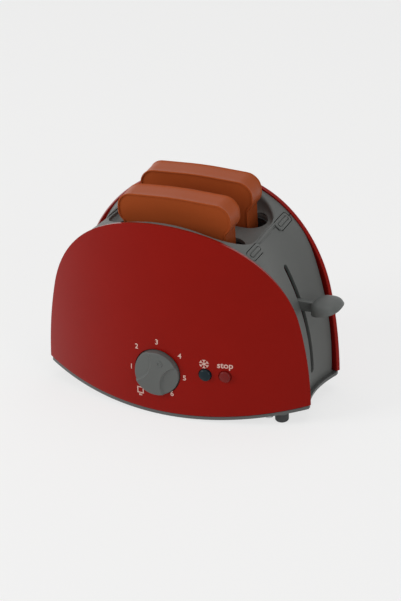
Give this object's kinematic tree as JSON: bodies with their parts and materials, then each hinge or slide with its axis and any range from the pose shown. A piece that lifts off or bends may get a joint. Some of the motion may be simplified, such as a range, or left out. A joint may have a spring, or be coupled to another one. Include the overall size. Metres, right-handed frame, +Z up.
{
  "type": "toy toaster",
  "caption": "Dome-shaped toy toaster with curved side panels, lift lever, turning dial, push buttons and removable toast slices.",
  "frame": {"origin": "on the table, under the middle of the body (the lever and the knob reach past it)", "axes": "+X along the body towards the lever, +Y towards the back, +Z up"},
  "size_m": [0.1968, 0.1036, 0.147],
  "materials": {
    "red_panel": "high gloss",
    "grey_cover": "satin",
    "dark_base": "satin",
    "rubber_foot": "matte",
    "plated_screw": "zinc plated",
    "black_frame": "matte",
    "white_slider": "satin",
    "steel_rod": "drawn wire",
    "grey_handle": "satin",
    "red_button": "clear gloss",
    "blue_button": "gloss",
    "brown_toast": "satin"
  },
  "bodies": {
    "housing": {"back_chute": "black_frame", "back_clip": "grey_cover", "back_panel": "red_panel", "base_plate": "dark_base", "base_screws": "plated_screw", "button_carrier": "black_frame", "carrier_screws": "plated_screw", "click_screw": "plated_screw", "click_spring": "steel_rod", "defrost_spring": "steel_rod", "dial_plate": "black_frame", "dial_screws": "plated_screw", "end_cover": "grey_cover", "foot_back_left": "rubber_foot", "foot_back_right": "rubber_foot", "foot_front_left": "rubber_foot", "foot_front_right": "rubber_foot", "front_chute": "black_frame", "front_clip": "grey_cover", "front_panel": "red_panel", "guide_rod": "steel_rod", "inner_frame": "black_frame", "latch_pin": "steel_rod", "lift_spring": "steel_rod", "panel_screws": "plated_screw", "stop_spring": "steel_rod", "top_cover": "grey_cover", "well_plate": "grey_cover"},
    "carriage": {"carriage": "white_slider", "lever": "grey_handle", "lever_screws": "plated_screw"},
    "dial": {"knob": "grey_handle", "click_wheel": "white_slider", "knob_screw": "plated_screw"},
    "stop_button": {"stop_button": "red_button"},
    "defrost_button": {"defrost_button": "blue_button"},
    "latch": {"latch": "white_slider"},
    "front_slice": {"front_slice_front": "brown_toast", "front_slice_back": "brown_toast"},
    "back_slice": {"back_slice_front": "brown_toast", "back_slice_back": "brown_toast"}
  },
  "joints": [
    {"name": "lift", "type": "slide", "parent": "housing", "child": "carriage", "axis": [0, 0, 1], "range_m": [-0.0435, 0.0215], "stiffness_N_per_m": 50, "springref_m": 0.016, "deforming": ["lift_spring"]},
    {"name": "front_slice_lift_out", "type": "slide", "parent": "carriage", "child": "front_slice", "axis": [0, 0, 1], "range_m": [0, 0.058]},
    {"name": "back_slice_lift_out", "type": "slide", "parent": "carriage", "child": "back_slice", "axis": [0, 0, 1], "range_m": [0, 0.058]},
    {"name": "dial_turn", "type": "hinge", "parent": "housing", "child": "dial", "pos_m": [-0.0042, -0.05, 0.032], "axis": [0, 1, 0], "range_deg": [-157.5, 112.5]},
    {"name": "stop_press", "type": "slide", "parent": "housing", "child": "stop_button", "axis": [0, 1, 0], "range_m": [0, 0.002], "stiffness_N_per_m": 250, "springref_m": -0.002, "deforming": ["stop_spring"]},
    {"name": "defrost_press", "type": "slide", "parent": "housing", "child": "defrost_button", "axis": [0, 1, 0], "range_m": [0, 0.002], "stiffness_N_per_m": 250, "springref_m": -0.002, "deforming": ["defrost_spring"]},
    {"name": "latch_turn", "type": "hinge", "parent": "housing", "child": "latch", "pos_m": [0.058, -0.0305, 0.035], "axis": [0, 0, 1], "range_deg": [-7, 0]}
  ],
  "couplings": [
    {"joint": "latch_turn", "follows": "stop_press", "rad_per_m": -60}
  ]
}
